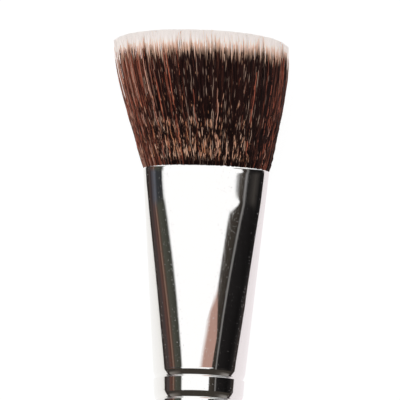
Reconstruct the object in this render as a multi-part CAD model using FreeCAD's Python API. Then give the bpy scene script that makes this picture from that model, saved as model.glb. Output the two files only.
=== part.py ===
# Flat contour brush, lying on its flat side with its hair towards +Y.
# Millimetres, +Z up. The origin is on the surface that the brush lies on, under the middle of it.
# Places along the brush are measured from the ferrule's mouth: "up" runs towards the hair's tips
# and "down" runs towards the tail of the handle.

import FreeCAD, Part
import math
import os

# Ferrule: one drawn tube, oval at its mouth and round where it grips the handle
mouth_width = 18.1
mouth_depth = 7.7
barrel_diameter = 13.04  # where the oval has become round
base_diameter = 11.8  # at the handle's shoulder
pressed_length = 5.0  # below the mouth, pressed to an even depth
taper_length = 28.5  # from the mouth down to the round barrel
barrel_length = 11.5  # from there down to the handle's shoulder
wall = 0.4
lip_share = 0.45  # the mouth's outer edge is broken by this share of the wall
oval_arcs = 36  # arcs that draw an oval

# Crimp grooves, rolled round the barrel so that the metal bites into the wood
crimp_count = 2
first_crimp = 1.75  # from the start of the barrel down to the first groove
crimp_pitch = 3.1
crimp_entry = 0.75  # length over which the metal rolls in
crimp_exit = 0.3  # length over which it rises again
crimp_depth = 0.26

# Hair: fluted by its bundles, fanned out from the mouth and cut to a shallow dome
hair_length = 19.5  # above the mouth, at the middle
tip_width = 24.8
tip_depth = 13.2
tip_squareness = 2.3  # 2 is an oval, more is squarer
hair_lean = 0.6  # how far the tips lean towards -X
root_length = 9.0  # held inside the ferrule
spill = 0.55  # how far the hair swells over the lip, in width and in height
flutes = 72  # a multiple of four, so that a crest lies at each extreme of the oval
flute_relief = 0.11  # height of a flute as a share of its width
fan_steps = 4
dome_radius = 120.0
rim_drop = 2.1  # the sides start to round off this far below the top
rim_inset = 3.0  # the rounding is a quarter of an ellipse, this wide, which the dome cuts off
rim_steps = 3
trim_allowance = 0.3  # hair above the dome's top, which the cut removes

# Glue plug that holds the hair's roots
glue_length = 10.0

# Handle: turned from one piece of wood
nose_length = 4.0  # tapered lead of the tenon
nose_step = 1.1  # how much thinner its tip is, in radius
belly_diameter = 13.2
belly_place = 30.0  # from the shoulder down to the thickest place
belly_reach = 33.0  # from there down to where the straight taper starts
tail_diameter = 7.2
tail_place = 100.0  # from the shoulder down to the straight tail
tail_length = 7.0

# Clearance between the ferrule's inside and what it holds
fit_gap = 0.05

shoulder = taper_length + barrel_length
axis_height = max(tip_depth, belly_diameter) / 2
total_length = hair_length + shoulder + tail_place + tail_length + tail_diameter / 2
mouth_y = total_length / 2 - hair_length

AXIS_START = FreeCAD.Vector(0, mouth_y, axis_height)
AXIS = FreeCAD.Vector(0, 1, 0)


def place(across, up, height=0.0):
    """A point given across the brush, up from the mouth, and above its axis."""
    return AXIS_START + FreeCAD.Vector(across, up, height)


def tube_section(down, inset):
    """Half width and half depth of the tube, a distance down from the mouth."""
    narrowing = down / taper_length
    deepening = max(down - pressed_length, 0) / (taper_length - pressed_length)
    width = mouth_width + (barrel_diameter - mouth_width) * narrowing
    depth = mouth_depth + (barrel_diameter - mouth_depth) * deepening
    return width / 2 - inset, depth / 2 - inset


def oval(down, inset):
    """The tube's outline at one place, as short arcs, so that a loft's ruled strips are narrow."""
    half_width, half_depth = tube_section(down, inset)

    def on_oval(turn):
        angle = 2 * math.pi * turn / oval_arcs
        return place(half_width * math.cos(angle), -down, half_depth * math.sin(angle))

    arcs = []
    for k in range(oval_arcs):
        arcs.append(Part.Arc(on_oval(k), on_oval(k + 0.5), on_oval(k + 1)).toShape())
    return Part.Wire(arcs)


def creases(top, bottom):
    """The places where the tube's sides bend, between two others."""
    return [pressed_length] if top < pressed_length < bottom else []


def taper(top, bottom, inset):
    """A solid of the tube between two places, shrunk by the inset."""
    downs = [top] + creases(top, bottom) + [bottom]
    return Part.makeLoft([oval(down, inset) for down in downs], True, True)


def barrel_radius(down):
    share = (down - taper_length) / barrel_length
    return (barrel_diameter + (base_diameter - barrel_diameter) * share) / 2


def straight(start, end):
    """A straight edge between two (down, radius) points."""
    return Part.LineSegment(place(start[1], -start[0]), place(end[1], -end[0])).toShape()


def barrel_edges(inset):
    """Outline of the barrel with its crimp grooves, from its start down to the shoulder."""
    edges = []
    here = (taper_length, barrel_radius(taper_length) - inset)
    for crimp in range(crimp_count):
        bottom = taper_length + first_crimp + crimp * crimp_pitch
        start = bottom - crimp_entry
        end = bottom + crimp_exit
        edge_in = (start, barrel_radius(start) - inset)
        low = (bottom, barrel_radius(bottom) - inset - crimp_depth)
        edge_out = (end, barrel_radius(end) - inset)
        edges += [straight(here, edge_in), straight(edge_in, low), straight(low, edge_out)]
        here = edge_out
    edges.append(straight(here, (shoulder, barrel_radius(shoulder) - inset)))
    return edges


def turned(edges):
    """The solid that an outline makes when it is turned about the brush's axis."""
    first = edges[0].Vertexes[0].Point
    last = edges[-1].Vertexes[-1].Point
    on_axis = [FreeCAD.Vector(0, point.y, axis_height) for point in (first, last)]
    closing = []
    if (last - on_axis[1]).Length > 1e-6:
        closing.append(Part.LineSegment(last, on_axis[1]).toShape())
    closing.append(Part.LineSegment(on_axis[1], on_axis[0]).toShape())
    closing.append(Part.LineSegment(on_axis[0], first).toShape())
    outline = Part.Face(Part.Wire(edges + closing))
    return outline.revolve(AXIS_START, AXIS, 360)


def ferrule():
    """The drawn tube: pressed mouth, taper and crimped barrel of one wall, with a broken lip edge."""
    lip = wall * lip_share
    mouth = Part.makeLoft([oval(0, lip), oval(lip, 0)], True, True)
    outside = mouth.fuse([taper(lip, taper_length, 0), turned(barrel_edges(0))])
    inside = taper(0, taper_length, wall).fuse(turned(barrel_edges(wall)))
    return outside.cut(inside).removeSplitter()


def glue_plug():
    """The epoxy plug under the hair's roots."""
    return taper(root_length, root_length + glue_length, wall + fit_gap)


def bulge(start, end):
    """A circular arc between two (down, radius) points, level with the axis at the larger one."""
    length = end[0] - start[0]
    drop = abs(end[1] - start[1])
    radius = (length**2 + drop**2) / (2 * drop)
    level = start if start[1] > end[1] else end
    sag = radius - math.sqrt(radius**2 - length**2 / 4)
    middle = ((start[0] + end[0]) / 2, level[1] - sag)
    points = [place(across, -down) for down, across in (start, middle, end)]
    return Part.Arc(*points).toShape()


def handle():
    """The turned handle: tapered nose, crimped tenon, belly, long taper and rounded tail."""
    inset = wall + fit_gap
    tenon = (taper_length, barrel_radius(taper_length) - inset)
    nose = (taper_length - nose_length, tenon[1] - nose_step)
    neck = (shoulder, base_diameter / 2)
    belly = (shoulder + belly_place, belly_diameter / 2)
    tail_radius = tail_diameter / 2
    tail = (shoulder + tail_place, tail_radius)
    tail_end = (tail[0] + tail_length, tail_radius)
    # an arc that starts level at the belly and goes on as a straight line drops half of what the line does
    fall = (belly[1] - tail_radius) / (tail_place - belly_place - belly_reach / 2)
    taper_start = (belly[0] + belly_reach, belly[1] - fall * belly_reach / 2)
    edges = [straight(nose, tenon)] + barrel_edges(inset)
    edges.append(straight((shoulder, neck[1] - inset), neck))
    edges.append(bulge(neck, belly))
    edges.append(bulge(belly, taper_start))
    edges.append(straight(taper_start, tail))
    edges.append(straight(tail, tail_end))
    shallow = tail_radius * math.cos(math.radians(45))
    rounding = Part.Arc(
        place(tail_radius, -tail_end[0]),
        place(shallow, -tail_end[0] - shallow),
        place(0, -tail_end[0] - tail_radius),
    )
    edges.append(rounding.toShape())
    return turned(edges)


def hair_outline(up, half_width, half_depth, squareness, lean):
    """One ring of flutes round the hair. Their crests lie on a squared oval."""
    power = 2 / squareness
    stretch = (tip_width - tip_depth) / (tip_width + tip_depth) / 2

    def on_oval(turn):
        # the second term spaces the flutes evenly round the long oval
        angle = turn + stretch * math.sin(2 * turn)
        across = math.copysign(abs(math.cos(angle)) ** power, math.cos(angle)) * half_width
        height = math.copysign(abs(math.sin(angle)) ** power, math.sin(angle)) * half_depth
        return FreeCAD.Vector(across, 0, height)

    step = 2 * math.pi / flutes
    centre = place(-lean, up)
    valleys = []
    crests = []
    for k in range(flutes):
        before = on_oval((k - 0.5) * step)
        crest = on_oval(k * step)
        after = on_oval((k + 0.5) * step)
        width = (after - before).Length / 2
        sunk = before * (1 - flute_relief * width / before.Length)
        crests.append(centre + crest)
        valleys.append(centre + sunk)
    arcs = []
    for k in range(flutes):
        arc = Part.Arc(valleys[k], crests[k], valleys[(k + 1) % flutes])
        arcs.append(arc.toShape())
    return Part.Wire(arcs)


def fan(share):
    """How far the hair has fanned out, from 0 at the mouth to 1 at the tips."""
    return math.sin(math.pi / 2 * share) ** 1.4


def bristle_tuft():
    """The hair: a straight root in the ferrule, a swell over the lip and a fan above it."""
    inset = wall + fit_gap
    rings = []
    for down in [root_length] + creases(0, root_length) + [0.0]:
        half_width, half_depth = tube_section(down, inset)
        rings.append(hair_outline(-down, half_width, half_depth, 2.0, 0.0))
    start_width = mouth_width / 2 - wall + spill
    start_depth = mouth_depth / 2 - wall + spill
    fan_top = hair_length - rim_drop
    for step in range(fan_steps + 1):
        share = step / fan_steps
        up = spill + (fan_top - spill) * share
        half_width = start_width + (tip_width / 2 - start_width) * fan(share)
        half_depth = start_depth + (tip_depth / 2 - start_depth) * fan(share)
        squareness = 2 + (tip_squareness - 2) * share
        rings.append(hair_outline(up, half_width, half_depth, squareness, hair_lean * share))
    for step in range(1, rim_steps + 1):
        angle = math.pi / 2 * step / rim_steps
        up = fan_top + (rim_drop + trim_allowance) * math.sin(angle)
        inset = rim_inset * (1 - math.cos(angle))
        half_width = tip_width / 2 - inset
        half_depth = tip_depth / 2 - inset
        rings.append(hair_outline(up, half_width, half_depth, tip_squareness, hair_lean))
    fanned = Part.makeLoft(rings, True, True)
    dome = Part.makeSphere(dome_radius, place(-hair_lean, hair_length - dome_radius))
    return fanned.common(dome)


pieces = {
    "bristle_tuft": bristle_tuft(),
    "ferrule": ferrule(),
    "glue_plug": glue_plug(),
    "handle": handle(),
}

os.makedirs("parts", exist_ok=True)
for name, shape in pieces.items():
    solid = shape.Solids[0]
    print(name, "solids", len(shape.Solids), "valid", shape.isValid(), "volume", round(solid.Volume, 1))
    solid.exportStep(f"parts/{name}.step")
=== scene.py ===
"""Looks of a flat contour brush: dip-dyed hair, polished ferrule, lacquered handle and a studio."""

import math
import bpy
import numpy as np
from bpy.props import FloatProperty, FloatVectorProperty, IntProperty, PointerProperty
from mathutils import Matrix, Vector


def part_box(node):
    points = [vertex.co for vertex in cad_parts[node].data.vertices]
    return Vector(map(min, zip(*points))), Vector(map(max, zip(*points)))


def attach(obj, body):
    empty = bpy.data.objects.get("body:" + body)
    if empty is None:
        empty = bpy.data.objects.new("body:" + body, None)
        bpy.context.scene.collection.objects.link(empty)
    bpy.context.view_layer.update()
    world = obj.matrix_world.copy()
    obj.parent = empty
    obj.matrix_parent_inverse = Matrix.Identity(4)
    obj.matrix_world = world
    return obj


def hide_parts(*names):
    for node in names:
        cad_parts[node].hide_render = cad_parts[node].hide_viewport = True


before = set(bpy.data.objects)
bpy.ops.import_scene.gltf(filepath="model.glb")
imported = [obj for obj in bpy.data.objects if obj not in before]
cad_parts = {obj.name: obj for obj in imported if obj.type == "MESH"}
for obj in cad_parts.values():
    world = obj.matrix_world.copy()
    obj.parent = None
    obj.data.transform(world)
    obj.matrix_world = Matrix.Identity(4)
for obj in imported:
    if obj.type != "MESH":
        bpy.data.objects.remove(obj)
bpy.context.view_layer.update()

bl_info = {
    "name": "Flat contour brush",
    "version": (1, 0, 0),
    "blender": (4, 5, 0),
    "location": "View3D > Sidebar > Brush",
    "description": "Adds the hair, the ferrule, the handle and the studio of a flat contour brush",
    "category": "Object",
}

# Lengths in this file are millimetres, apart from the properties, which are metres as Blender's are
MM = 0.001

FERRULE_LOW, FERRULE_HIGH = (np.array(corner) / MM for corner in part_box("ferrule"))
HAIR_LOW, HAIR_HIGH = (np.array(corner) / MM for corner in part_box("bristle_tuft"))

# Places along the brush are measured from the mouth: up towards the tips, down towards the tail
MOUTH_Y = FERRULE_HIGH[1]
AXIS_Z = (FERRULE_LOW[2] + FERRULE_HIGH[2]) / 2
MOUTH_HALF_WIDTH = FERRULE_HIGH[0]
BARREL_RADIUS = (FERRULE_HIGH[2] - FERRULE_LOW[2]) / 2
FERRULE_LENGTH = FERRULE_HIGH[1] - FERRULE_LOW[1]
HAIR_LENGTH = HAIR_HIGH[1] - MOUTH_Y
TIP_HALF_WIDTH = (HAIR_HIGH[0] - HAIR_LOW[0]) / 2
TIP_HALF_DEPTH = (HAIR_HIGH[2] - HAIR_LOW[2]) / 2

# Form of the hair
FAN_DROP = 2.1  # the fan ends this far below the hair's top
FAN_POWER = 1.4
SQUARING = 0.3  # what the oval's power of 2 gains by the tips
CUT_DROP = 0.3  # the cut lies this far below the hair's top
DOME_RADIUS = 120.0
RIM_START, RIM_SHARE = 0.8, 0.2  # the cut's rim is rounded over this share of the width
RIM_FALL = 0.8
RIM_ROUND = 0.98  # below 1, so that the rounding doesn't end upright
FILAMENT_START = -1.2  # the filaments start this far inside the ferrule
INNER_START = 13.0
TAPER_LENGTH, TAPER_SHARE = 3.0, 0.6  # a filament's end thins to this share of its width

# Filaments that lie side by side form locks about 0.2 mm wide
LOCKS = 260
BUNDLE_WAVES = (71, 83, 97)
CLUMP_WAVES = (23, 37, 61)
DYED_THROUGH_SHARE = 0.002
SEED = 7

# The filaments' texture is an atlas: each column is one kind of filament, and its height is the way
# along it. Columns from each of these on are one family.
ATLAS_COLUMNS = 256
DARK_FAMILY = 0
BROWN_FAMILY = 40
RUSSET_FAMILY = 72
LIGHT_FAMILY = 112
# painted highlights: short glints near the foot
PAINTED_GLINT_FAMILY = 144
# painted highlights: longer grey streaks
PAINTED_STREAK_FAMILY = 208
DYED_THROUGH_FAMILY = 248
COLUMN_MARGIN = 0.2
ATLAS_LENGTH = 23.0
TIP_MARGIN = 1.5
CAP_HEIGHT = 0.002

# Handle, measured down from the ferrule's end
BELLY_PLACE = 30.0
BELLY_REACH = 33.0  # from the belly down to the start of the straight taper
TAIL_PLACE = 100.0
TAIL_LENGTH = 7.0
NOSE_LENGTH, NOSE_STEP = 4.0, 1.1  # tapered lead of the tenon
FIT_GAP = 0.05
SHOULDER_ROUNDING = 0.12

# Brightness of the panels and the paper that make the white in the metal
WHITE_LEVEL = 1.04

# Kinds of nodes that are used often
MATH = "ShaderNodeMath"
VECTOR_MATH = "ShaderNodeVectorMath"
SPLIT = "ShaderNodeSeparateXYZ"
RANGE = "ShaderNodeMapRange"
RAMP = "ShaderNodeValToRGB"
MIX = "ShaderNodeMix"
MIX_SHADER = "ShaderNodeMixShader"
NOISE = "ShaderNodeTexNoise"
PLACES = "ShaderNodeTexCoord"
MAPPING = "ShaderNodeMapping"
BUMP = "ShaderNodeBump"
PRINCIPLED = "ShaderNodeBsdfPrincipled"
EMISSION = "ShaderNodeEmission"
MATERIAL_OUTPUT = "ShaderNodeOutputMaterial"


def linear(hex_colour):
    """A colour written as sRGB hex, such as #8A5040, as linear red, green, blue and alpha."""
    digits = hex_colour.lstrip("#")
    channels = [int(digits[k:k + 2], 16) / 255 for k in (0, 2, 4)]
    turned = [c / 12.92 if c <= 0.04045 else ((c + 0.055) / 1.055) ** 2.4 for c in channels]
    return (*turned, 1.0)


def grey(level):
    """A linear grey."""
    return (level, level, level, 1.0)


def paint(value):
    """A colour property as the four numbers that a socket takes."""
    return (*value, 1.0)


def smooth(value, low, high):
    """0 below low, 1 above high, and 3t^2 - 2t^3 between them."""
    t = np.clip((value - low) / (high - low), 0, 1)
    return t * t * (3 - 2 * t)


def length(name, description, millimetres):
    """A length property with its default in millimetres."""
    return FloatProperty(name=name, description=description, default=millimetres * MM, unit="LENGTH")


def colour(name, description, hex_colour):
    """A colour property with its default as sRGB hex."""
    default = linear(hex_colour)[:3]
    return FloatVectorProperty(
        name=name, description=description, default=default, subtype="COLOR", min=0, max=1
    )


class HairSettings(bpy.types.PropertyGroup):
    lean: length("Lean", "How far the tips lean to one side", 1.35)
    spill: length("Spill", "How far the hair swells over the ferrule's lip", 0.55)
    filament: length("Filament", "Diameter of a filament, drawn coarse enough to show", 0.105)
    outer_count: IntProperty(
        name="Outer filaments", description="Filaments from mouth to tip", default=8400
    )
    inner_count: IntProperty(name="Inner filaments", description="Tips inside the tuft", default=11000)
    waved_count: IntProperty(name="Waved filaments", description="Loose waved filaments", default=3800)
    # brown, russet and light are chosen more often towards the sides, which paints the light that shines
    # through the thin edges
    dark: colour("Dark", "Body of the filaments in the middle", "#200E0C")
    brown: colour("Brown", "Body of the filaments between middle and sides", "#4C2A20")
    russet: colour("Russet", "Body of the filaments at the sides", "#8A4A38")
    light: colour("Light", "Light filaments at the sides", "#B0806E")
    # Copper and tan paint the glints near the foot, which are painted highlights. Tan is also the colour
    # where the dye fades.
    copper: colour("Copper", "Darker glints near the foot", "#C4805A")
    tan: colour("Tan", "Lighter glints near the foot, and where the dye fades", "#EDC2A8")
    # Grey paints the streaks in the middle, which are painted highlights.
    grey: colour("Grey", "Streaks in the middle", "#A28676")
    tip: colour("Tip", "Undyed tips", "#FFF8F4")


class FerruleSettings(bpy.types.PropertyGroup):
    mouth_depth: length("Mouth depth", "Depth of the oval mouth", 7.7)
    base_diameter: length("Base", "Diameter at the handle's shoulder", 11.8)
    pressed_length: length("Pressed length", "Length below the mouth that has an even depth", 5.6)
    taper_length: length("Taper length", "From the mouth down to the round barrel", 29.5)
    wall: length("Wall", "Thickness of the metal", 0.4)
    first_crimp: length("First crimp", "From the start of the barrel down to the first groove", 0.8)
    crimp_pitch: length("Crimp pitch", "Distance between the grooves", 3.1)
    crimp_entry: length("Crimp entry", "Length over which the metal rolls in", 1.0)
    crimp_exit: length("Crimp exit", "Length over which it rises again", 0.3)
    crimp_depth: length("Crimp depth", "Depth of a groove", 0.26)
    lip_length: length("Lip length", "Length over which the lip's outer edge is rounded", 0.5)
    metal: colour("Metal", "Polished nickel plate", "#FCFBFA")


class HandleSettings(bpy.types.PropertyGroup):
    belly_diameter: length("Belly", "Thickest diameter", 13.2)
    tail_diameter: length("Tail", "Diameter of the straight tail", 7.2)
    lacquer: colour("Lacquer", "Black lacquer", "#0D0C0D")


class StudioSettings(bpy.types.PropertyGroup):
    elevation: FloatProperty(
        name="Elevation", description="Camera's angle above the floor",
        default=math.radians(81.4), subtype="ANGLE"
    )
    roll: FloatProperty(
        name="Roll", description="How far the brush leans in the picture",
        default=math.radians(2.0), subtype="ANGLE"
    )
    distance: length("Distance", "From the camera to the ferrule's mouth", 600.0)
    field: length("Field", "Width of the picture at the mouth", 57.14)
    floor: colour("Floor", "White paper", "#F7F7F7")


def finish_mesh(name, points, sizes, corners, uvs=None):
    """A smooth mesh object from arrays: points in mm, each face's number of corners, and the corners."""
    starts = np.concatenate([[0], np.cumsum(sizes)[:-1]])
    mesh = bpy.data.meshes.new(name)
    mesh.vertices.add(len(points))
    mesh.vertices.foreach_set("co", (points * MM).astype(np.float32).ravel())
    mesh.loops.add(len(corners))
    mesh.loops.foreach_set("vertex_index", corners.astype(np.int32))
    mesh.polygons.add(len(starts))
    mesh.polygons.foreach_set("loop_start", starts.astype(np.int32))
    mesh.polygons.foreach_set("use_smooth", np.ones(len(starts), bool))
    if uvs is not None:
        layer = mesh.uv_layers.new(name="OFBake")
        layer.data.foreach_set("uv", uvs.astype(np.float32).ravel())
    mesh.update(calc_edges=True)
    mesh.validate()
    piece = bpy.data.objects.new(name, mesh)
    bpy.context.scene.collection.objects.link(piece)
    return piece


def flat_sheet(name, corners):
    """One flat face through four corners."""
    return finish_mesh(name, np.array(corners), np.array([4]), np.arange(4))


def rings(downs, half_width, half_depth, around):
    """A row of ovals about the brush's axis, each a distance down from the mouth.

    With the turn from 0 to 360 degrees, x is half the width * cos(turn), and z is the axis's height
    plus half the depth * sin(turn).
    """
    turn = np.linspace(0, 2 * np.pi, around, endpoint=False)
    return np.stack([
        half_width[:, None] * np.cos(turn), MOUTH_Y - downs[:, None] + 0 * turn,
        AXIS_Z + half_depth[:, None] * np.sin(turn),
    ], -1)


def turned_surface(name, rows, poles=None):
    """A closed surface over a grid of rows, each a ring of points in the same turning sense.

    Neighbouring rings are joined by quads. Without poles the last ring joins the first, which makes
    a tube with a wall. With poles a fan closes each end.
    """
    count, around = rows.shape[:2]
    bands = count if poles is None else count - 1
    row = np.repeat(np.arange(bands), around)
    turn = np.tile(np.arange(around), bands)
    after = (turn + 1) % around
    below = (row + 1) % count
    quads = np.stack(
        [row * around + turn, below * around + turn, below * around + after, row * around + after], 1
    )
    points = rows.reshape(-1, 3)
    corners = [quads.ravel()]
    sizes = [np.full(len(quads), 4)]
    if poles is not None:
        here = np.arange(around)
        there = (here + 1) % around
        last = (count - 1) * around
        first_pole = np.full(around, len(points))
        last_pole = first_pole + 1
        points = np.concatenate([points, np.array(poles)])
        corners.append(np.stack([first_pole, here, there], 1).ravel())
        corners.append(np.stack([last_pole, last + there, last + here], 1).ravel())
        sizes.append(np.full(2 * around, 3))
    return finish_mesh(name, points, np.concatenate(sizes), np.concatenate(corners))


def prisms(name, lines, radii, outward, columns, heights):
    """Three-sided closed filaments along many centre lines.

    lines is (filament, row, 3), radii and heights are (filament, row), outward is a unit vector for
    each filament. A corner is line + radius * (cos a * side + sin a * depth), with depth across the
    line and outward. Its texture place is the filament's column across and its height up.
    """
    count, rows = radii.shape
    tangent = np.gradient(lines, axis=1)
    tangent /= np.linalg.norm(tangent, axis=2, keepdims=True)
    side = np.cross(tangent, outward[:, None, :])
    side /= np.linalg.norm(side, axis=2, keepdims=True)
    depth = np.cross(side, tangent)
    angles = np.radians([30, 150, 270])[:, None]
    ring = np.cos(angles) * side[:, :, None, :] + np.sin(angles) * depth[:, :, None, :]
    points = (lines[:, :, None, :] + radii[:, :, None, None] * ring).reshape(-1, 3)

    strand = np.arange(count)[:, None, None]
    row = np.arange(rows - 1)[None, :, None]
    edge = np.arange(3)[None, None, :]
    after = (edge + 1) % 3
    base = strand * rows * 3
    quads = np.stack(
        np.broadcast_arrays(
            base + row * 3 + edge, base + (row + 1) * 3 + edge,
            base + (row + 1) * 3 + after, base + row * 3 + after,
        ), -1
    ).reshape(-1, 4)
    first = base.reshape(-1, 1) + np.array([[0, 1, 2]])
    last = base.reshape(-1, 1) + (rows - 1) * 3 + np.array([[2, 1, 0]])

    left = (columns + COLUMN_MARGIN) / ATLAS_COLUMNS
    right = (columns + 1 - COLUMN_MARGIN) / ATLAS_COLUMNS
    low = heights[:, :-1]
    high = heights[:, 1:]
    left_wide = np.broadcast_to(left[:, None], low.shape)
    right_wide = np.broadcast_to(right[:, None], low.shape)
    quad_uv = np.stack(
        [
            np.stack([left_wide, low], -1), np.stack([left_wide, high], -1),
            np.stack([right_wide, high], -1), np.stack([right_wide, low], -1),
        ], 2
    )
    quad_uv = np.repeat(quad_uv[:, :, None], 3, axis=2).reshape(-1, 2)

    def cap_uv(height):
        """Texture places of a closing triangle for each filament: a sliver at one height."""
        return np.stack(
            [
                np.stack([left, height], -1), np.stack([right, height], -1),
                np.stack([right, height + CAP_HEIGHT], -1),
            ], 1
        ).reshape(-1, 2)

    corners = np.concatenate([quads.ravel(), first.ravel(), last.ravel()])
    sizes = np.concatenate([np.full(len(quads), 4), np.full(2 * count, 3)])
    uvs = np.concatenate([quad_uv, cap_uv(heights[:, 0]), cap_uv(heights[:, -1] - CAP_HEIGHT)])
    return finish_mesh(name, points, sizes, corners, uvs)


def empty_tree(block):
    """The node tree of a material or a world, with no nodes in it."""
    block.use_nodes = True
    block.node_tree.nodes.clear()
    return block.node_tree


def new_material(name):
    """A material and its node tree, with no nodes in it."""
    material = bpy.data.materials.new(name)
    return material, empty_tree(material)


def add_node(tree, kind, inputs=None, **settings):
    """Adds a node, with its settings, and with values or links on its inputs.

    An input takes a value, a socket, or a node, which is linked by its first output that is in use.

    Sockets that share a name go by number: a Map Range has its value on 0, where it comes from on 1
    and 2, and where it goes to on 3 and 4. A Mix of colours has its factor on 0 and colours on 6 and 7.
    """
    node = tree.nodes.new(kind)
    for name, value in settings.items():
        setattr(node, name, value)
    for name, value in (inputs or {}).items():
        if isinstance(value, bpy.types.Node):
            value = next(socket for socket in value.outputs if socket.enabled)
        if isinstance(value, bpy.types.NodeSocket):
            tree.links.new(value, node.inputs[name])
        else:
            node.inputs[name].default_value = value
    return node


def set_ramp(node, stops, interpolation="LINEAR"):
    """Gives a colour ramp its stops, each a place and a linear colour."""
    ramp = node.color_ramp
    ramp.interpolation = interpolation
    while len(ramp.elements) < len(stops):
        ramp.elements.new(1.0)
    for element, (place, value) in zip(ramp.elements, stops):
        element.position = place
        element.color = value


def dress(piece, material, slot, *nodes):
    """Gives a new piece its material and its body, and hides the CAD nodes that it stands for. The slot
    is not used.
    """
    piece.data.materials.append(material)
    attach(piece, "root")
    if nodes:
        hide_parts(*nodes)


def texture_height(from_tip, offset=0.0):
    """Height in the atlas of a point a distance from the filament's tip, with the dye's own offset."""
    return 1 - (from_tip + TIP_MARGIN + offset) / ATLAS_LENGTH


def filament_material(hair):
    """Dip-dyed nylon filament: satin, dark brown with a light tip, with painted highlights where it
    would catch light.

    The body's colour goes by family and by a random brightness for each column, with painted shade that
    darkens it towards the foot. Glints are painted highlights: short light dashes near the foot. Streaks
    are painted highlights too, longer and greyer. The tip blends from the body through tan to off-white,
    and a painted glow brightens it.
    """
    material, tree = new_material("dip_dyed_nylon")
    place = add_node(tree, "ShaderNodeUVMap", uv_map="OFBake")
    split = add_node(tree, SPLIT, {"Vector": place})
    u, v = split.outputs["X"], split.outputs["Y"]
    columns = add_node(tree, MATH, {0: u, 1: ATLAS_COLUMNS}, operation="MULTIPLY")
    column = add_node(tree, MATH, {0: columns}, operation="FLOOR")

    def draw(seed):
        """A random number for each column."""
        key = add_node(tree, MATH, {0: column, 1: seed}, operation="ADD")
        return add_node(tree, "ShaderNodeTexWhiteNoise", {"W": key}, noise_dimensions="1D")

    def in_family(first, after):
        """1 in one family's columns, 0 elsewhere."""
        from_first = add_node(tree, MATH, {0: u, 1: first / ATLAS_COLUMNS}, operation="GREATER_THAN")
        before_next = add_node(tree, MATH, {0: u, 1: after / ATLAS_COLUMNS}, operation="LESS_THAN")
        return add_node(tree, MATH, {0: from_first, 1: before_next}, operation="MULTIPLY")

    def towards_tip(deep, shallow, low=0.0, high=1.0):
        """A number that grows from low to high between two distances from the filament's tip."""
        ends = {1: texture_height(deep), 2: texture_height(shallow), 3: low, 4: high}
        return add_node(tree, RANGE, {0: v, **ends}, interpolation_type="SMOOTHSTEP")

    # a lane of noise for each column, stretched by the column's own pace
    chance = draw(0.0)
    pace = add_node(tree, RANGE, {0: draw(0.5), 3: 0.6, 4: 1.4})
    lane_spacing = 400.0
    up = add_node(tree, MATH, {0: v, 1: ATLAS_LENGTH}, operation="MULTIPLY")
    along = add_node(tree, MATH, {0: up, 1: pace}, operation="MULTIPLY")
    across = add_node(tree, MATH, {0: chance, 1: lane_spacing}, operation="MULTIPLY")
    lane = add_node(tree, "ShaderNodeCombineXYZ", {"X": across, "Y": along})

    def lane_noise(per_mm, detail):
        """Noise along each filament, with a number of waves in a millimetre."""
        spot = add_node(tree, VECTOR_MATH, {0: lane, 1: (1.0, per_mm, 1.0)}, operation="MULTIPLY")
        return add_node(tree, NOISE, {"Vector": spot, "Scale": 1.0, "Detail": detail})

    families = add_node(tree, RAMP, {"Fac": u})
    dark = paint(hair.dark)
    starts = {
        DARK_FAMILY: dark, BROWN_FAMILY: paint(hair.brown), RUSSET_FAMILY: paint(hair.russet),
        LIGHT_FAMILY: paint(hair.light), PAINTED_GLINT_FAMILY: dark,
    }
    set_ramp(families, [(first / ATLAS_COLUMNS, body) for first, body in starts.items()], "CONSTANT")
    by_column = add_node(tree, RANGE, {0: chance, 3: 0.3, 4: 1.6})
    along_column = add_node(tree, RANGE, {0: lane_noise(0.35, 2.0), 3: 0.0, 4: 2.1})
    bright = add_node(tree, MATH, {0: by_column, 1: along_column}, operation="MULTIPLY")
    foot = HAIR_LENGTH
    # painted shade: the body is darker at the foot and grows lighter up to 12 mm above it
    painted_foot_shade = towards_tip(foot, foot - 12.0, 0.8, 1.25)
    shade = add_node(tree, MATH, {0: bright, 1: painted_foot_shade}, operation="MULTIPLY")
    body = add_node(tree, VECTOR_MATH, {0: families, "Scale": shade}, operation="SCALE")

    # painted highlights: glints, dense near the foot and rarer higher up
    fewer = towards_tip(foot - 1.5, foot - 9.0, 0.0, 0.17)
    thinned = add_node(tree, MATH, {0: lane_noise(0.55, 1.0), 1: fewer}, operation="SUBTRACT")
    dashes = add_node(tree, RANGE, {0: thinned, 1: 0.45, 2: 0.57}, interpolation_type="SMOOTHSTEP")
    above_foot = towards_tip(foot - 0.3, foot - 1.2)
    dashes = add_node(tree, MATH, {0: dashes, 1: above_foot}, operation="MULTIPLY")
    glints = in_family(PAINTED_GLINT_FAMILY, PAINTED_STREAK_FAMILY)
    painted_glint = add_node(tree, MATH, {0: dashes, 1: glints}, operation="MULTIPLY")
    painted_glint_colours = {0: draw(0.7), 6: paint(hair.copper), 7: paint(hair.tan)}
    warm = add_node(tree, MIX, painted_glint_colours, data_type="RGBA")
    body = add_node(tree, MIX, {0: painted_glint, 6: body, 7: warm}, data_type="RGBA")

    # painted highlights: longer grey streaks in the middle
    painted_streak_dashes = add_node(
        tree, RANGE, {0: lane_noise(0.36, 1.0), 1: 0.52, 2: 0.64}, interpolation_type="SMOOTHSTEP"
    )
    streaks = in_family(PAINTED_STREAK_FAMILY, DYED_THROUGH_FAMILY)
    streak = add_node(tree, MATH, {0: painted_streak_dashes, 1: streaks}, operation="MULTIPLY")
    body = add_node(tree, MIX, {0: streak, 6: body, 7: paint(hair.grey)}, data_type="RGBA")

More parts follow.
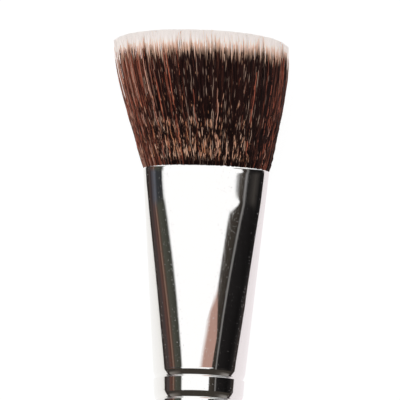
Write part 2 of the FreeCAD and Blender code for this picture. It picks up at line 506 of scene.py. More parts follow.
    # the dye fades through tan to the undyed tip, apart from the filaments that are dyed through
    fade_start, fade_middle, fade_end = 3.9, 2.7, 1.4
    last = DYED_THROUGH_FAMILY / ATLAS_COLUMNS
    fades = add_node(tree, MATH, {0: u, 1: last}, operation="LESS_THAN")
    fade = towards_tip(fade_start, fade_middle)
    faded = add_node(tree, MATH, {0: fade, 1: fades}, operation="MULTIPLY")
    body = add_node(tree, MIX, {0: faded, 6: body, 7: paint(hair.tan)}, data_type="RGBA")
    end = towards_tip(fade_middle, fade_end)
    undyed = add_node(tree, MATH, {0: end, 1: fades}, operation="MULTIPLY")
    body = add_node(tree, MIX, {0: undyed, 6: body, 7: paint(hair.tip)}, data_type="RGBA")
    # painted glow on the undyed tips: an emission that stands for the light that passes along and
    # between the clear filaments
    through = add_node(tree, VECTOR_MATH, {0: paint(hair.tip)[:3], "Scale": undyed}, operation="SCALE")
    shader = add_node(tree, PRINCIPLED, {
        "Base Color": body, "Roughness": 0.5, "IOR": 1.53, "Specular IOR Level": 0.15,
        "Emission Color": through, "Emission Strength": 0.16,
    })
    add_node(tree, MATERIAL_OUTPUT, {"Surface": shader})
    return material


def core_material(hair):
    """Nylon filaments too deep to tell apart: matt, and nearly black between the outer ones, which is
    painted shade.
    """
    material, tree = new_material("packed_nylon")
    place = add_node(tree, PLACES).outputs["Object"]
    across, along = 0.3 * MM, 6 * MM
    scale = (1 / across, 1 / along, 1 / across)
    streaks = add_node(tree, MAPPING, {"Vector": place, "Scale": scale})
    noise = add_node(tree, NOISE, {"Vector": streaks, "Scale": 1.0, "Detail": 2.0})
    colours = add_node(tree, RAMP, {"Fac": noise})
    dark = paint(hair.dark)
    # painted shade: the dark end of the streaks is 0.4 of the filaments' own dark colour
    darker = tuple(0.4 * c for c in dark[:3]) + (1.0,)
    set_ramp(colours, [(0.3, darker), (0.7, dark)])
    shader = add_node(tree, PRINCIPLED, {
        "Base Color": colours, "Roughness": 0.8, "Specular IOR Level": 0.1
    })
    add_node(tree, MATERIAL_OUTPUT, {"Surface": shader})
    return material


class Tuft:
    """The form that all filaments follow: a fan that starts as the ferrule's inside."""

    def __init__(self, hair, ferrule):
        self.lean = hair.lean / MM
        self.spill = hair.spill / MM
        self.inside_width = MOUTH_HALF_WIDTH - ferrule.wall / MM
        self.inside_depth = ferrule.mouth_depth / MM / 2 - ferrule.wall / MM
        self.fan_height = HAIR_LENGTH - FAN_DROP

    def place(self, angle, share, up):
        """Point of a filament at a height above the mouth.

        Half the width is the inside's, plus a swell over the lip, plus a fan that grows as
        sin(90 deg * height)^1.4. The outline is an oval that gets squarer as it rises. The lean
        grows as height^1.1.
        """
        rise = np.clip(up / self.fan_height, 0, 1)
        fan = np.sin(np.pi / 2 * rise) ** FAN_POWER
        swell = self.spill * smooth(up, 0, 1.2 * self.spill)
        half_width = self.inside_width + swell + (TIP_HALF_WIDTH - self.inside_width - self.spill) * fan
        half_depth = self.inside_depth + swell + (TIP_HALF_DEPTH - self.inside_depth - self.spill) * fan
        power = 2 / (2 + SQUARING * rise)
        across = np.sign(np.cos(angle)) * np.abs(np.cos(angle)) ** power
        height = np.sign(np.sin(angle)) * np.abs(np.sin(angle)) ** power
        lean = self.lean * np.clip(up / self.fan_height, 0, None) ** 1.1
        return np.stack(
            [across * half_width * share - lean, MOUTH_Y + up, AXIS_Z + height * half_depth * share], -1
        )

    def top(self, angle, share):
        """Height of the cut: a wide dome, with its rim rounded over the last fifth of the width."""
        spot = self.place(angle, share, np.full_like(angle, self.fan_height))
        flat = ((spot[..., 0] + self.lean) ** 2 + (spot[..., 2] - AXIS_Z) ** 2) / (2 * DOME_RADIUS)
        rim = np.clip((share - RIM_START) / RIM_SHARE, 0, 1)
        return HAIR_LENGTH - CUT_DROP - flat - RIM_FALL * (1 - np.sqrt(1 - rim ** 2 * RIM_ROUND))


def even_angle(turn):
    """Turns spread evenly along the long oval: turn + a quarter of its longness * sin(2 turn)."""
    stretch = (TIP_HALF_WIDTH - TIP_HALF_DEPTH) / (TIP_HALF_WIDTH + TIP_HALF_DEPTH) / 2
    return turn + stretch * np.sin(2 * turn)


def outward_at(turn):
    """Unit vectors that point out of the oval, which is about twice as wide as it is deep."""
    angle = even_angle(turn)
    outward = np.stack([np.cos(angle), 0 * angle, np.sin(angle) * 2], 1)
    return outward / np.linalg.norm(outward, axis=1, keepdims=True)


def lock_at(turn):
    """Number of the lock that a filament lies in."""
    return np.floor(turn / (2 * np.pi) * LOCKS).astype(int) % LOCKS


def ripple(turn, rng, periods, depth):
    """A sum of sines round the tuft, with random phases, that is about depth deep."""
    total = np.zeros_like(turn)
    for count in periods:
        total += np.sin(count * turn + rng.uniform(0, 2 * np.pi))
    return depth * total / math.sqrt(len(periods))


def choose_columns(place_x, turn, rng, glints, streaks, locked):
    """Families by place: brown, russet and light to the sides, as painted light where the white around
    shines through the thin edges, and glints and streaks in the middle, as painted highlights.

    The share that is locked takes one draw for each lock, so that a lock shows as one streak. A
    later family in the list takes the place of an earlier one.
    """
    count = len(place_x)
    lock = lock_at(turn)
    in_lock = rng.random(count) < locked

    def draw():
        """A random number for each filament, shared in a lock by those that are locked."""
        return np.where(in_lock, rng.random(LOCKS)[lock], rng.random(count))

    def column(first, after):
        """A random column of one family."""
        return first + np.floor(draw() * (after - first) * 0.999)

    side = place_x / TIP_HALF_WIDTH
    left = smooth(-side, 0.25, 0.9)
    # painted rim light: light filaments along the left edge
    painted_left_rim_light = smooth(-side, 0.97, 1.07)
    right = smooth(side, 0.66, 0.98)
    middle = 1 - smooth(np.abs(side + 0.08), 0.6, 0.9)
    clumps = np.clip(0.7 + ripple(turn, rng, CLUMP_WAVES, 0.5), 0, 1)
    in_clumps = clumps * (1 - smooth(np.abs(side + 0.15), 0.4, 0.85))
    columns = column(DARK_FAMILY, BROWN_FAMILY)
    # The families from brown to light grow more common towards the sides, as painted light where the
    # white around shines through the thin edges. Glints and streaks are painted highlights.
    for first, after, chance in (
        (BROWN_FAMILY, RUSSET_FAMILY, 0.14 + 0.66 * left + 0.5 * right),
        (RUSSET_FAMILY, LIGHT_FAMILY, 0.04 + 0.54 * left + 0.45 * right),
        (LIGHT_FAMILY, PAINTED_GLINT_FAMILY, 0.02 + 0.11 * left + 0.4 * painted_left_rim_light + 0.05 * right),
        (PAINTED_STREAK_FAMILY, DYED_THROUGH_FAMILY, streaks * middle),
        (PAINTED_GLINT_FAMILY, PAINTED_STREAK_FAMILY, glints * in_clumps),
        (DYED_THROUGH_FAMILY, ATLAS_COLUMNS, DYED_THROUGH_SHARE),
    ):
        columns = np.where(draw() < chance, column(first, after), columns)
    return columns


def dye_offset(place_x, turn, lean, rng):
    """How much nearer the tip the dye reaches: by lock, by filament, and more at the sides.

    The filaments at the very edges are the exception: some of them stay pale further down, which is
    painted rim light.
    """
    side = (place_x + lean) / TIP_HALF_WIDTH
    by_lock = rng.normal(0, 0.5, LOCKS)[lock_at(turn)]
    by_filament = rng.normal(0, 0.42, len(turn))
    painted_edge_light = smooth(-side, 0.92, 0.99) * rng.uniform(0, 7, len(turn))
    painted_edge_light += smooth(side, 0.94, 1.0) * rng.uniform(0, 3, len(turn))
    by_side = 0.72 + 0.15 * smooth(side, 0.3, 1.0) - 0.8 * smooth(-side, 0.3, 1.0)
    return np.clip(by_lock + by_filament, -1.2, 1.5) + by_side - painted_edge_light


def filament_rows(tuft, turn, share, start, end, rows):
    """Centre lines of filaments at fixed places in the tuft's form, from start to end height."""
    step = np.linspace(0, 1, rows) ** 0.9
    up = start + (end - start)[:, None] * step
    angle = even_angle(turn)[:, None]
    return tuft.place(angle, share[:, None], up), up


def taper(up, end, radius):
    """Radius that falls to 0.6 of itself over the last 3 mm."""
    near = np.clip((end[:, None] - up) / TAPER_LENGTH, 0, 1)
    return radius * (TAPER_SHARE + (1 - TAPER_SHARE) * near)


class BRUSH_OT_add_hair(bpy.types.Operator):
    """Adds the hair: a dark core, outer filaments from mouth to tip, inner tips and waved ones"""

    bl_idname = "brush.add_hair"
    bl_label = "Add hair"

    def execute(self, context):
        hair = context.scene.brush_hair
        tuft = Tuft(hair, context.scene.brush_ferrule)
        radius = hair.filament / MM / 2
        rng = np.random.default_rng(SEED)
        material = filament_material(hair)
        self.add_core(tuft, core_material(hair))
        self.add_outer(tuft, hair.outer_count, radius, rng, material)
        self.add_inner(tuft, hair.inner_count, radius, rng, material)
        self.add_waved(tuft, hair.waved_count, radius, rng, material)
        return {"FINISHED"}

    def add_core(self, tuft, material):
        """A closed form inside the tuft: rings at 0.84 of its width, drawn in to a pole at the top."""
        root, straight, cap = -1.5, 13.5, 2.2
        inner, levels = 0.84, 24
        bend = np.radians(np.arange(15, 90, 15))
        up = np.concatenate([np.linspace(root, straight, levels), straight + cap * np.sin(bend)])
        share = np.concatenate([np.full(levels, inner), inner * np.cos(bend)])
        turn = np.linspace(0, 2 * np.pi, 96, endpoint=False)
        rows = tuft.place(even_angle(turn)[None, :], share[:, None], up[:, None] + 0 * turn[None, :])
        foot = (0, MOUTH_Y + root, AXIS_Z)
        head = (rows[-1, :, 0].mean(), MOUTH_Y + straight + cap, AXIS_Z)
        core = turned_surface("hair_core", rows, (foot, head))
        dress(core, material, "hair", "bristle_tuft")

    def add_outer(self, tuft, total, radius, rng, material):
        """Filaments in the outer part of the section, gathered into small bundles towards the tips."""
        parts, rows = 3, 8
        depth = 0.17  # of the part of the section that they fill, as a share of its width
        bunching = 0.006
        uneven, short_share = 0.16, 0.05
        stray = 0.10
        count = total // parts
        for part in range(parts):
            turn = rng.uniform(0, 2 * np.pi, count)
            turn = turn + ripple(turn, rng, BUNDLE_WAVES, bunching)
            share = 1 - depth * rng.random(count) ** 1.3
            end = tuft.top(even_angle(turn), share) - np.abs(rng.normal(0, uneven, count))
            short = rng.random(count) < short_share
            end = end - short * rng.uniform(0.3, 1.4, count)
            lines, up = filament_rows(tuft, turn, share, FILAMENT_START, end, rows)
            lines[..., 0] += rng.normal(0, stray, count)[:, None] * smooth(up, 2, 18)
            columns = choose_columns(lines[:, -2, 0], turn, rng, glints=0.25, streaks=0.22, locked=0.05)
            dye = dye_offset(lines[:, -1, 0], turn, tuft.lean, rng)
            heights = texture_height(end[:, None] - up, dye[:, None])
            radii = taper(up, end, radius)
            name = f"hair_outer_{part + 1}"
            piece = prisms(name, lines, radii, outward_at(turn), columns, heights)
            dress(piece, material, "hair")

    def add_inner(self, tuft, count, radius, rng, material):
        """Short lengths under the domed cut, that rise out of the core. They are thick, to fill it."""
        widest, uneven, thickness = 0.93, 0.2, 1.8
        turn = rng.uniform(0, 2 * np.pi, count)
        share = widest * np.sqrt(rng.random(count))
        end = tuft.top(even_angle(turn), share) - np.abs(rng.normal(0, uneven, count))
        lines, up = filament_rows(tuft, turn, share, INNER_START, end, rows=3)
        columns = choose_columns(lines[:, -1, 0], turn, rng, glints=0.0, streaks=0.0, locked=0.35)
        dye = dye_offset(lines[:, -1, 0], turn, tuft.lean, rng)
        heights = texture_height(end[:, None] - up, dye[:, None])
        radii = taper(up, end, thickness * radius)
        outward = np.tile([0.0, 0.0, 1.0], (count, 1))
        piece = prisms("hair_inner", lines, radii, outward, columns, heights)
        dress(piece, material, "hair")

    def add_waved(self, tuft, total, radius, rng, material):
        """Loose filaments on the outside, whose waves carry painted glints near the foot.

        A wave is depth * sin(360 deg * height / wavelength + phase). It starts at the foot, and
        falls to 0.3 of its depth higher up.
        """
        parts, rows = 2, 14
        proud, spread, thickness = 1.008, 0.02, 1.05
        calmer = 0.7
        count = total // parts
        for part in range(parts):
            turn = rng.uniform(0, 2 * np.pi, count)
            share = proud - spread * rng.random(count)
            end = rng.uniform(6.5, 17.0, count)
            lines, up = filament_rows(tuft, turn, share, -1.0, end, rows)
            depth = rng.uniform(0.04, 0.18, count)[:, None]
            wavelength = rng.uniform(3.0, 5.5, count)[:, None]
            phase = rng.uniform(0, 2 * np.pi, count)[:, None]
            wave = depth * np.sin(2 * np.pi * up / wavelength + phase)
            lines[..., 0] += wave * smooth(up, 0.3, 2.0) * (1 - calmer * smooth(up, 5.0, 10.0))
            columns = choose_columns(lines[:, -2, 0], turn, rng, glints=0.72, streaks=0.35, locked=0.0)
            heights = texture_height(HAIR_LENGTH - up)
            radii = taper(up, end, thickness * radius)
            name = f"hair_waved_{part + 1}"
            piece = prisms(name, lines, radii, outward_at(turn), columns, heights)
            dress(piece, material, "hair")


def metal_material(ferrule):
    """Nickel-plated brass, drawn and polished: a mirror with faint draw lines and a slight ripple."""
    material, tree = new_material("polished_nickel_plate")
    place = add_node(tree, PLACES).outputs["Object"]
    per_mm = 1 / MM
    scale = (3 * per_mm, 0.12 * per_mm, 3 * per_mm)
    drawn = add_node(tree, MAPPING, {"Vector": place, "Scale": scale})
    lines = add_node(tree, NOISE, {"Vector": drawn, "Scale": 1.0, "Detail": 3.0})
    rough = add_node(tree, RANGE, {0: lines, 1: 0.35, 2: 0.75, 3: 0.035, 4: 0.10})
    ripples = add_node(tree, NOISE, {"Vector": place, "Scale": 0.16 * per_mm, "Detail": 1.0})
    rippled = add_node(tree, BUMP, {"Height": ripples, "Strength": 0.08, "Distance": 0.1 * MM})
    grains = add_node(tree, NOISE, {"Vector": place, "Scale": 5 * per_mm, "Detail": 0.0})
    specks = add_node(tree, RANGE, {0: grains, 1: 0.77, 2: 0.83})
    specked = add_node(
        tree, BUMP, {"Height": specks, "Strength": 0.35, "Distance": 0.015 * MM, "Normal": rippled}
    )
    shader = add_node(tree, PRINCIPLED, {
        "Base Color": paint(ferrule.metal), "Metallic": 1.0, "Roughness": rough, "Normal": specked
    })
    add_node(tree, MATERIAL_OUTPUT, {"Surface": shader})
    return material


def bend(x, at, reach):
    """max(x - at, 0), with its corner rounded over reach."""
    return (x - at + np.sqrt((x - at) ** 2 + reach ** 2)) / 2


def ferrule_section(ferrule, down):
    """Half width and half depth of the tube, a distance down from the mouth.

    The width narrows evenly to the barrel's. The depth stays even over the pressed length and then
    grows evenly, with the bends between them rounded. The barrel narrows evenly to its base. Each
    crimp rolls in as 1.4 t^2 - 0.4 t^3 and rises again as a shorter, even curve.
    """
    taper_length = ferrule.taper_length / MM
    pressed = ferrule.pressed_length / MM
    mouth_depth = ferrule.mouth_depth / MM / 2
    base = ferrule.base_diameter / MM / 2
    pressed_bend, barrel_bend = 0.8, 0.02
    width_slope = (BARREL_RADIUS - MOUTH_HALF_WIDTH) / taper_length
    depth_slope = (BARREL_RADIUS - mouth_depth) / (taper_length - pressed)
    barrel_slope = (base - BARREL_RADIUS) / (FERRULE_LENGTH - taper_length)
    past_taper = bend(down, taper_length, barrel_bend)
    width = MOUTH_HALF_WIDTH + width_slope * (down - past_taper) + barrel_slope * past_taper
    past_pressed = bend(down, pressed, pressed_bend)
    depth = mouth_depth + depth_slope * (past_pressed - past_taper) + barrel_slope * past_taper
    for crimp in range(2):
        bottom = taper_length + (ferrule.first_crimp + crimp * ferrule.crimp_pitch) / MM
        roll_in = np.clip(1 - (bottom - down) / (ferrule.crimp_entry / MM), 0, 1)
        entry = roll_in ** 2 * (1.4 - 0.4 * roll_in)
        leave = 1 - smooth(down, bottom, bottom + ferrule.crimp_exit / MM)
        groove = ferrule.crimp_depth / MM * np.where(down < bottom, entry, leave)
        width = width - groove
        depth = depth - groove
    return width, depth


class BRUSH_OT_add_ferrule(bpy.types.Operator):
    """Adds the ferrule: a tube from oval mouth to round barrel, with a rounded lip and two crimps"""

    bl_idname = "brush.add_ferrule"
    bl_label = "Add ferrule"

    def execute(self, context):
        ferrule = context.scene.brush_ferrule
        wall = ferrule.wall / MM
        half_wall = wall / 2
        lip_length = ferrule.lip_length / MM
        outside = self.outside_places(ferrule)
        outer_lip = np.linspace(0.08, 1, 10)
        inner_lip = np.radians(np.linspace(100, 170, 5))
        inside = np.linspace(lip_length, FERRULE_LENGTH, 24)
        downs = np.concatenate([
            outside[::-1], lip_length * (1 - outer_lip), half_wall * (1 - np.sin(inner_lip)), inside
        ])
        insets = np.concatenate([
            np.zeros(len(outside)), half_wall * outer_lip ** 1.5, half_wall * (1 - np.cos(inner_lip)),
            np.full(len(inside), wall),
        ])
        half_width, half_depth = ferrule_section(ferrule, downs)
        rows = rings(downs, half_width - insets, half_depth - insets, around=224)
        piece = turned_surface("ferrule_tube", rows)
        dress(piece, metal_material(ferrule), "polished_metal", "ferrule")
        return {"FINISHED"}

    def outside_places(self, ferrule):
        """Places down the outside: evenly apart, and closer where the surface bends."""
        taper_end = ferrule.taper_length / MM
        first = taper_end + ferrule.first_crimp / MM
        second = first + ferrule.crimp_pitch / MM
        even = np.linspace(ferrule.lip_length / MM, FERRULE_LENGTH, 60)
        close = np.concatenate([
            np.arange(place - above, place + below, spacing) for place, above, below, spacing in (
                (ferrule.pressed_length / MM, 2.0, 2.0, 0.13), (taper_end, 0.3, 0.3, 0.04),
                (first, 1.1, 0.5, 0.04), (second, 1.1, 0.5, 0.04),
            )
        ])
        apart = np.abs(even[:, None] - close[None, :]).min(axis=1) > 0.15
        places = np.sort(np.concatenate([even[apart], close]))
        return places[np.concatenate([[True], np.diff(places) > 0.03])]


def lacquer_material(handle):
    """Piano lacquer on turned wood: deep gloss black, with faint orange peel and slight polish marks."""
    material, tree = new_material("black_lacquer")
    place = add_node(tree, PLACES).outputs["Object"]
    peel = add_node(tree, NOISE, {"Vector": place, "Scale": 0.9 / MM, "Detail": 2.0})
    peeled = add_node(tree, BUMP, {"Height": peel, "Strength": 0.08, "Distance": 0.05 * MM})
    smears = add_node(tree, NOISE, {"Vector": place, "Scale": 0.12 / MM, "Detail": 4.0})
    rough = add_node(tree, RANGE, {0: smears, 1: 0.4, 2: 0.7, 3: 0.10, 4: 0.2})
    shader = add_node(tree, PRINCIPLED, {
        "Base Color": paint(handle.lacquer), "Roughness": rough, "Normal": peeled, "IOR": 1.5,
        "Coat Weight": 0.6, "Coat Roughness": 0.04,
    })
    add_node(tree, MATERIAL_OUTPUT, {"Surface": shader})
    return material


class BRUSH_OT_add_handle(bpy.types.Operator):
    """Adds the handle: a turned shape with a belly, a long straight taper and a rounded tail"""

    bl_idname = "brush.add_handle"
    bl_label = "Add handle"

    def execute(self, context):
        handle = context.scene.brush_handle
        ferrule = context.scene.brush_ferrule
        shoulder = FERRULE_LENGTH
        neck = ferrule.base_diameter / MM / 2
        belly = handle.belly_diameter / MM / 2
        tail = handle.tail_diameter / MM / 2
        belly_down = shoulder + BELLY_PLACE
        taper_down = belly_down + BELLY_REACH
        tail_down = shoulder + TAIL_PLACE
        end_down = tail_down + TAIL_LENGTH
        fall = (belly - tail) / (tail_down - belly_down - BELLY_REACH / 2)

        def radius(down):
            """Parabolas up to the belly and away from it, then a straight taper and a straight tail."""
            up_arc = belly - (belly - neck) * ((belly_down - down) / BELLY_PLACE) ** 2
            down_arc = belly - fall * (down - belly_down) ** 2 / (2 * BELLY_REACH)
            straight = tail + fall * (tail_down - down)
            body = np.where(down < belly_down, up_arc, np.where(down < taper_down, down_arc, straight))
            return np.where(down < tail_down, body, tail)

        nose_down = ferrule.taper_length / MM - NOSE_LENGTH
        tenon_down = np.linspace(ferrule.taper_length / MM, shoulder, 8)
        tenon = ferrule_section(ferrule, tenon_down)[0] - (ferrule.wall / MM + FIT_GAP)
        body_down = np.concatenate([
            np.linspace(shoulder, belly_down, 40), np.linspace(belly_down, tail_down, 90)[1:]
        ])
        body = radius(body_down) - SHOULDER_ROUNDING * (body_down == shoulder)
        round_off = np.radians(np.arange(0, 90, 6))
        downs = np.concatenate([
            [nose_down], tenon_down, [shoulder], body_down, [end_down - 0.001],
            end_down + tail * np.sin(round_off),
        ])
        radii = np.concatenate([
            [tenon[0] - NOSE_STEP], tenon, [neck - SHOULDER_ROUNDING], body, [tail],
            tail * np.cos(round_off),
        ])
        rows = rings(downs, radii, radii, around=128)[::-1]
        poles = ((0, MOUTH_Y - end_down - tail, AXIS_Z), (0, MOUTH_Y - nose_down, AXIS_Z))
        piece = turned_surface("handle_lacquered", rows, poles)
        dress(piece, lacquer_material(handle), "lacquered_wood", "handle")
        return {"FINISHED"}


def glue_material():
    """Cured epoxy: glassy amber, slightly cloudy."""
    material, tree = new_material("cured_epoxy")
    place = add_node(tree, PLACES).outputs["Object"]
    clouds = add_node(tree, NOISE, {"Vector": place, "Scale": 0.4 / MM, "Detail": 3.0})
    colours = add_node(tree, RAMP, {"Fac": clouds})
    set_ramp(colours, [(0.35, linear("#A9894F")), (0.7, linear("#C9AC74"))])
    shader = add_node(tree, PRINCIPLED, {"Base Color": colours, "Roughness": 0.25, "IOR": 1.55})
    add_node(tree, MATERIAL_OUTPUT, {"Surface": shader})
    return material


class BRUSH_OT_dress_glue(bpy.types.Operator):
    """Gives the glue plug inside the ferrule its material"""

    bl_idname = "brush.dress_glue"
    bl_label = "Dress glue"

    def execute(self, context):
        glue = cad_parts["glue_plug"]
        glue.data.materials.clear()
        glue.data.materials.append(glue_material())
        return {"FINISHED"}


class BRUSH_OT_add_studio(bpy.types.Operator):
    """Adds the camera, a white floor, one soft lamp and the surroundings that the metal mirrors"""

    bl_idname = "brush.add_studio"
    bl_label = "Add studio"

    def execute(self, context):
        studio = context.scene.brush_studio
        context.scene.view_settings.view_transform = "Standard"
        self.add_camera(context, studio)
        self.add_floor(studio)
        self.add_card()
        self.add_lamp(context)
        self.add_world(context)
        return {"FINISHED"}

    def add_camera(self, context, studio):
        """The mouth's middle is at pixel (206.3, 168) of a 400 px picture."""
        picture = 400
        mouth_pixel = (206.3, 168.0)
        per_pixel = studio.field / picture
        tilt = math.pi / 2 - studio.elevation
        forward = Vector((0, math.sin(tilt), -math.cos(tilt)))
        level_up = Vector((0, math.cos(tilt), math.sin(tilt)))
        level_right = Vector((1, 0, 0))
        up = level_up * math.cos(studio.roll) - level_right * math.sin(studio.roll)
        right = level_right * math.cos(studio.roll) + level_up * math.sin(studio.roll)
        mouth = Vector((0, MOUTH_Y, AXIS_Z)) * MM
        across = (picture / 2 - mouth_pixel[0]) * per_pixel
        upward = (mouth_pixel[1] - picture / 2) * per_pixel
        centre = mouth + right * across + up * upward
        lens = bpy.data.cameras.new("camera")
        lens.sensor_width = 36.0
        lens.lens = lens.sensor_width * studio.distance / studio.field
        camera = bpy.data.objects.new("camera", lens)
        context.scene.collection.objects.link(camera)
        turning = Matrix((right, up, -forward)).transposed().to_4x4()
        camera.matrix_world = Matrix.Translation(centre - forward * studio.distance) @ turning
        context.scene.camera = camera

    def add_floor(self, studio):
        """A flat sheet of white paper. It shows white itself, and shaded where the brush shades it.

        Mirrors see it in faint tints, and dark far out to each side, which is what blackens the
        outer edges of the bands in the metal.
        """
        half = 900.0
        floor = flat_sheet(
            "floor", [(-half, -half, 0), (half, -half, 0), (half, half, 0), (-half, half, 0)]
        )
        material, tree = new_material("white_paper")
        place = add_node(tree, PLACES).outputs["Object"]
        split = add_node(tree, SPLIT, {"Vector": place})
        x, y = split.outputs["X"], split.outputs["Y"]

        def dark_beyond(side, skew, tail_reach, hair_reach, tail_down, hair_down):
            """1 beyond a reach to one side, 0 within it, with a soft edge.

            The reach changes between two places down from the mouth, which lie further towards the
            hair the further out they are, by skew.
            """
            out = add_node(tree, MATH, {0: x, 1: side}, operation="MULTIPLY")
            back = add_node(tree, MATH, {0: out, 1: -skew}, operation="MULTIPLY")
            along = add_node(tree, MATH, {0: y, 1: back}, operation="ADD")
            reach = add_node(tree, RANGE, {
                0: along, 1: (MOUTH_Y - tail_down) * MM, 2: (MOUTH_Y - hair_down) * MM,
                3: tail_reach * MM, 4: hair_reach * MM,
            })
            past = add_node(tree, MATH, {0: out, 1: reach}, operation="SUBTRACT")
            return add_node(tree, RANGE, {0: past, 1: -3 * MM, 2: 3 * MM})

        left = dark_beyond(-1.0, skew=0.0, tail_reach=80, hair_reach=28, tail_down=8, hair_down=1)
        right = dark_beyond(1.0, skew=0.19, tail_reach=68, hair_reach=260, tail_down=26.5, hair_down=19)
        dark = add_node(tree, MATH, {0: left, 1: right}, operation="MAXIMUM")
        tinted_half = 60 * MM
        across = add_node(tree, RANGE, {0: x, 1: -tinted_half, 2: tinted_half})
        tints = add_node(tree, RAMP, {"Fac": across})
        set_ramp(tints, [
            (0.0, linear("#E6E4E0")), (0.35, linear("#F5F4F2")), (0.45, linear("#FDFDFC")),
            (0.55, linear("#F6F0F2")), (0.65, linear("#EDE6E8")), (1.0, linear("#E6DFE1")),
        ])
        tint = add_node(tree, MIX, {0: dark, 6: tints, 7: linear("#332D2B")}, data_type="RGBA")
        mirrored = add_node(tree, EMISSION, {"Color": tint, "Strength": 1.0})
        paper = add_node(tree, "ShaderNodeBsdfDiffuse", {"Color": paint(studio.floor)})
        shaded = add_node(tree, "ShaderNodeBsdfDiffuse", {"Color": grey(0.12)})
        glow = add_node(tree, EMISSION, {"Color": grey(1.0), "Strength": 0.93})
        shown = add_node(tree, "ShaderNodeAddShader", {0: shaded, 1: glow})
        rays = add_node(tree, "ShaderNodeLightPath")
        seen = add_node(tree, MIX_SHADER, {0: rays.outputs["Is Camera Ray"], 1: paper, 2: shown})
        surface = add_node(tree, MIX_SHADER, {0: rays.outputs["Is Glossy Ray"], 1: seen, 2: mirrored})
        add_node(tree, MATERIAL_OUTPUT, {"Surface": surface})
        floor.data.materials.append(material)

    def add_card(self):
        """A small warm card over the ferrule's right side, that only mirrors see.

        Its mask grows from 0 to 1 past a curved edge, where the place across is more than the
        curve's value for the place along, and it fades in over the card's lower end.
        """
        height = 52.0
        low_y, full_y, high_y = MOUTH_Y - 19.4, MOUTH_Y - 16.4, MOUTH_Y - 2.5
        low_x, high_x = -14.0, 20.6
        card = flat_sheet("warm_card", [
            (low_x, low_y, height), (21.0, low_y, height), (30.0, MOUTH_Y - 10.5, height),
            (high_x, high_y, height),
        ])
        material, tree = new_material("warm_paper")
        place = add_node(tree, PLACES).outputs["Object"]
        split = add_node(tree, SPLIT, {"Vector": place})
        x, y = split.outputs["X"], split.outputs["Y"]
        across = add_node(tree, RANGE, {0: x, 1: low_x * MM, 2: high_x * MM})
        along = add_node(tree, RANGE, {0: y, 1: low_y * MM, 2: high_y * MM})
        fade = add_node(tree, RANGE, {0: y, 1: low_y * MM, 2: full_y * MM})
        curve = add_node(tree, RAMP, {"Fac": along})
        edge = (
            (0.0, 0.0), (0.06, 0.15), (0.156, 0.43), (0.35, 0.53), (0.545, 0.655), (0.74, 0.72),
            (0.93, 1.0),
        )
        set_ramp(curve, [(at, grey(value)) for at, value in edge])
        past = add_node(tree, MATH, {0: across, 1: curve}, operation="SUBTRACT")
        inside = add_node(tree, RANGE, {0: past, 1: -0.08, 2: 0.12})
        mask = add_node(tree, MATH, {0: inside, 1: fade}, operation="MULTIPLY")
        clear = add_node(tree, "ShaderNodeBsdfTransparent")
        warm = add_node(tree, EMISSION, {"Color": linear("#B08C80")})
        mixed = add_node(tree, MIX_SHADER, {0: mask, 1: clear, 2: warm})
        add_node(tree, MATERIAL_OUTPUT, {"Surface": mixed})
        card.data.materials.append(material)
        card.visible_camera = False
        card.visible_diffuse = False
        card.visible_shadow = False

    def add_lamp(self, context):
        """One soft lamp above. The metal doesn't mirror it, because the surroundings hold its light."""
        light = bpy.data.lights.new("soft_lamp", "AREA")
        light.shape = "RECTANGLE"
        light.size = 0.7
        light.size_y = 0.7
        light.energy = 3.0
        lamp = bpy.data.objects.new("soft_lamp", light)
        context.scene.collection.objects.link(lamp)
        lamp.location = (-0.12, 0.1, 0.8)
        lamp.visible_glossy = False

    def add_world(self, context):
        """White for the camera, an even grey for soft surfaces, and panels for mirrors.

        The panels go by the angle about the brush's axis, with 0 degrees straight up, and by the way
        along it: one row of panels for the pressed mouth, one for the taper and the barrel, one
        towards the tail for views from there, and white beyond the hair. The inner edge of the
        panels on the right goes by the way along as well, and notches in where the metal bends.
        """
        world = bpy.data.worlds.new("studio")
        tree = empty_tree(world)
        white = grey(WHITE_LEVEL)
        tail_dark = linear("#3A3530")
        direction = add_node(tree, PLACES).outputs["Generated"]
        split = add_node(tree, SPLIT, {"Vector": direction})
        x, along, z = split.outputs["X"], split.outputs["Y"], split.outputs["Z"]
        angle = add_node(tree, MATH, {0: x, 1: z}, operation="ARCTAN2")
        share = add_node(tree, RANGE, {0: angle, 1: -math.pi / 2, 2: math.pi / 2})

        def as_share(degrees):
            """An angle as a share of the half turn from the left to the right."""
            return (degrees + 90) / 180

        def panels(stops):
            """Colours by the angle about the axis."""
            colours = add_node(tree, RAMP, {"Fac": share})
            set_ramp(colours, [(as_share(degrees), value) for degrees, value in stops])
            return colours

        def change(value, low, high, a, b):
            """a below low, b above high, blended between."""
            part = add_node(tree, RANGE, {0: value, 1: low, 2: high})
            return add_node(tree, MIX, {0: part, 6: a, 7: b}, data_type="RGBA")

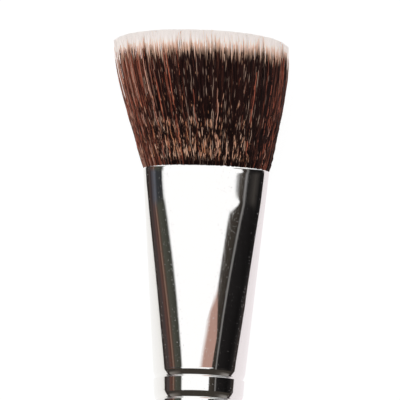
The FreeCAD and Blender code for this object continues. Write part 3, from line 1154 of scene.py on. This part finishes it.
        at_taper = panels([
            (-90, linear("#443C3A")), (-83, linear("#453F3E")), (-76, linear("#5E4038")),
            (-71, linear("#4A352E")), (-68, linear("#866A5C")), (-65, linear("#4E4038")),
            (-60, linear("#4A4A42")), (-46.6, linear("#3A3A34")), (-42.6, white), (10, white),
            (12, linear("#4A443E")), (37, linear("#36312C")), (40, linear("#2A2624")),
            (42.4, linear("#8A8886")), (45, linear("#1E1C1C")), (76, linear("#100F0F")),
            (85, linear("#1C1A1A")), (89, linear("#2A2626")),
        ])
        at_mouth = panels([
            (-90, linear("#4A3F3B")), (-80, linear("#383031")), (-66, linear("#5C5E66")),
            (-60, linear("#34363A")), (-48, linear("#26262A")), (-46, white), (10, white),
            (12, linear("#2A2826")), (29, linear("#2A2826")), (34, linear("#55504A")),
            (38.5, linear("#3A3532")), (41, linear("#A09E9E")), (43.5, linear("#1A1918")),
            (60, linear("#3E3A37")), (76, linear("#141313")), (85, linear("#1A1818")),
            (89, linear("#2A2828")),
        ])
        at_tail = panels([
            (-90, linear("#9A948E")), (-72, linear("#6A645E")), (-52, tail_dark), (45, tail_dark),
            (60, linear("#4C4743")), (76, linear("#88837E")), (90, linear("#B0ACA8")),
        ])
        mirrored = change(along, 0.10, 0.17, at_mouth, at_taper)
        mirrored = change(along, 0.05, 0.07, at_taper, mirrored)

        # the right panels' inner edge: the way along, and degrees
        edge = (
            (0.05, 25.0), (0.07, 26.2), (0.113, 26.2), (0.127, 26.6), (0.137, 28.5), (0.15, 33.6),
            (0.17, 35.4), (0.222, 34.0), (0.262, 31.6), (0.285, 29.2), (0.3, 27.0), (0.309, 25.2),
        )
        edge_reach = 0.34
        edge_blur = 0.0056
        near = add_node(tree, RANGE, {0: along, 1: 0.0, 2: edge_reach})
        curve = add_node(tree, RAMP, {"Fac": near})
        set_ramp(curve, [(at / edge_reach, grey(as_share(degrees))) for at, degrees in edge])
        past_edge = add_node(tree, MATH, {0: share, 1: curve}, operation="SUBTRACT")
        left_half = add_node(tree, MATH, {0: 0.5, 1: share}, operation="SUBTRACT")
        past = add_node(tree, MATH, {0: past_edge, 1: left_half}, operation="MAXIMUM")
        mirrored = change(past, -edge_blur, edge_blur, white, mirrored)

        tailward = change(along, -0.98, -0.9, linear("#746F6A"), at_tail)
        tailward = change(along, -0.55, -0.42, tailward, tail_dark)
        mirrored = change(along, -0.25, -0.19, tailward, mirrored)
        mirrored = change(along, 0.5, 0.65, mirrored, white)
        soft = add_node(tree, "ShaderNodeBackground", {"Color": grey(0.6), "Strength": 1.0})
        mirror = add_node(tree, "ShaderNodeBackground", {"Color": mirrored, "Strength": 1.0})
        shown = add_node(tree, "ShaderNodeBackground", {"Color": grey(1.0), "Strength": 1.0})
        rays = add_node(tree, "ShaderNodeLightPath")
        lit = add_node(tree, MIX_SHADER, {0: rays.outputs["Is Glossy Ray"], 1: soft, 2: mirror})
        seen = add_node(tree, MIX_SHADER, {0: rays.outputs["Is Camera Ray"], 1: lit, 2: shown})
        add_node(tree, "ShaderNodeOutputWorld", {"Surface": seen})
        context.scene.world = world


class BRUSH_PT_panel(bpy.types.Panel):
    """Lists the buttons that add each piece and the studio"""

    bl_idname = "BRUSH_PT_panel"
    bl_label = "Flat contour brush"
    bl_space_type = "VIEW_3D"
    bl_region_type = "UI"
    bl_category = "Brush"

    def draw(self, context):
        for operator in OPERATORS:
            self.layout.operator(operator.bl_idname)


OPERATORS = (
    BRUSH_OT_add_studio, BRUSH_OT_add_hair, BRUSH_OT_add_ferrule, BRUSH_OT_add_handle,
    BRUSH_OT_dress_glue,
)
GROUPS = {
    "brush_hair": HairSettings, "brush_ferrule": FerruleSettings, "brush_handle": HandleSettings,
    "brush_studio": StudioSettings,
}


def register():
    for name, group in GROUPS.items():
        bpy.utils.register_class(group)
        setattr(bpy.types.Scene, name, PointerProperty(type=group))
    for item in (*OPERATORS, BRUSH_PT_panel):
        bpy.utils.register_class(item)


def unregister():
    for item in (BRUSH_PT_panel, *reversed(OPERATORS)):
        bpy.utils.unregister_class(item)
    for name, group in GROUPS.items():
        delattr(bpy.types.Scene, name)
        bpy.utils.unregister_class(group)


def main():
    """Adds everything in order."""
    register()
    bpy.ops.brush.add_studio()
    bpy.ops.brush.add_hair()
    bpy.ops.brush.add_ferrule()
    bpy.ops.brush.add_handle()
    bpy.ops.brush.dress_glue()
    bpy.context.view_layer.update()


if __name__ == "__main__":
    main()
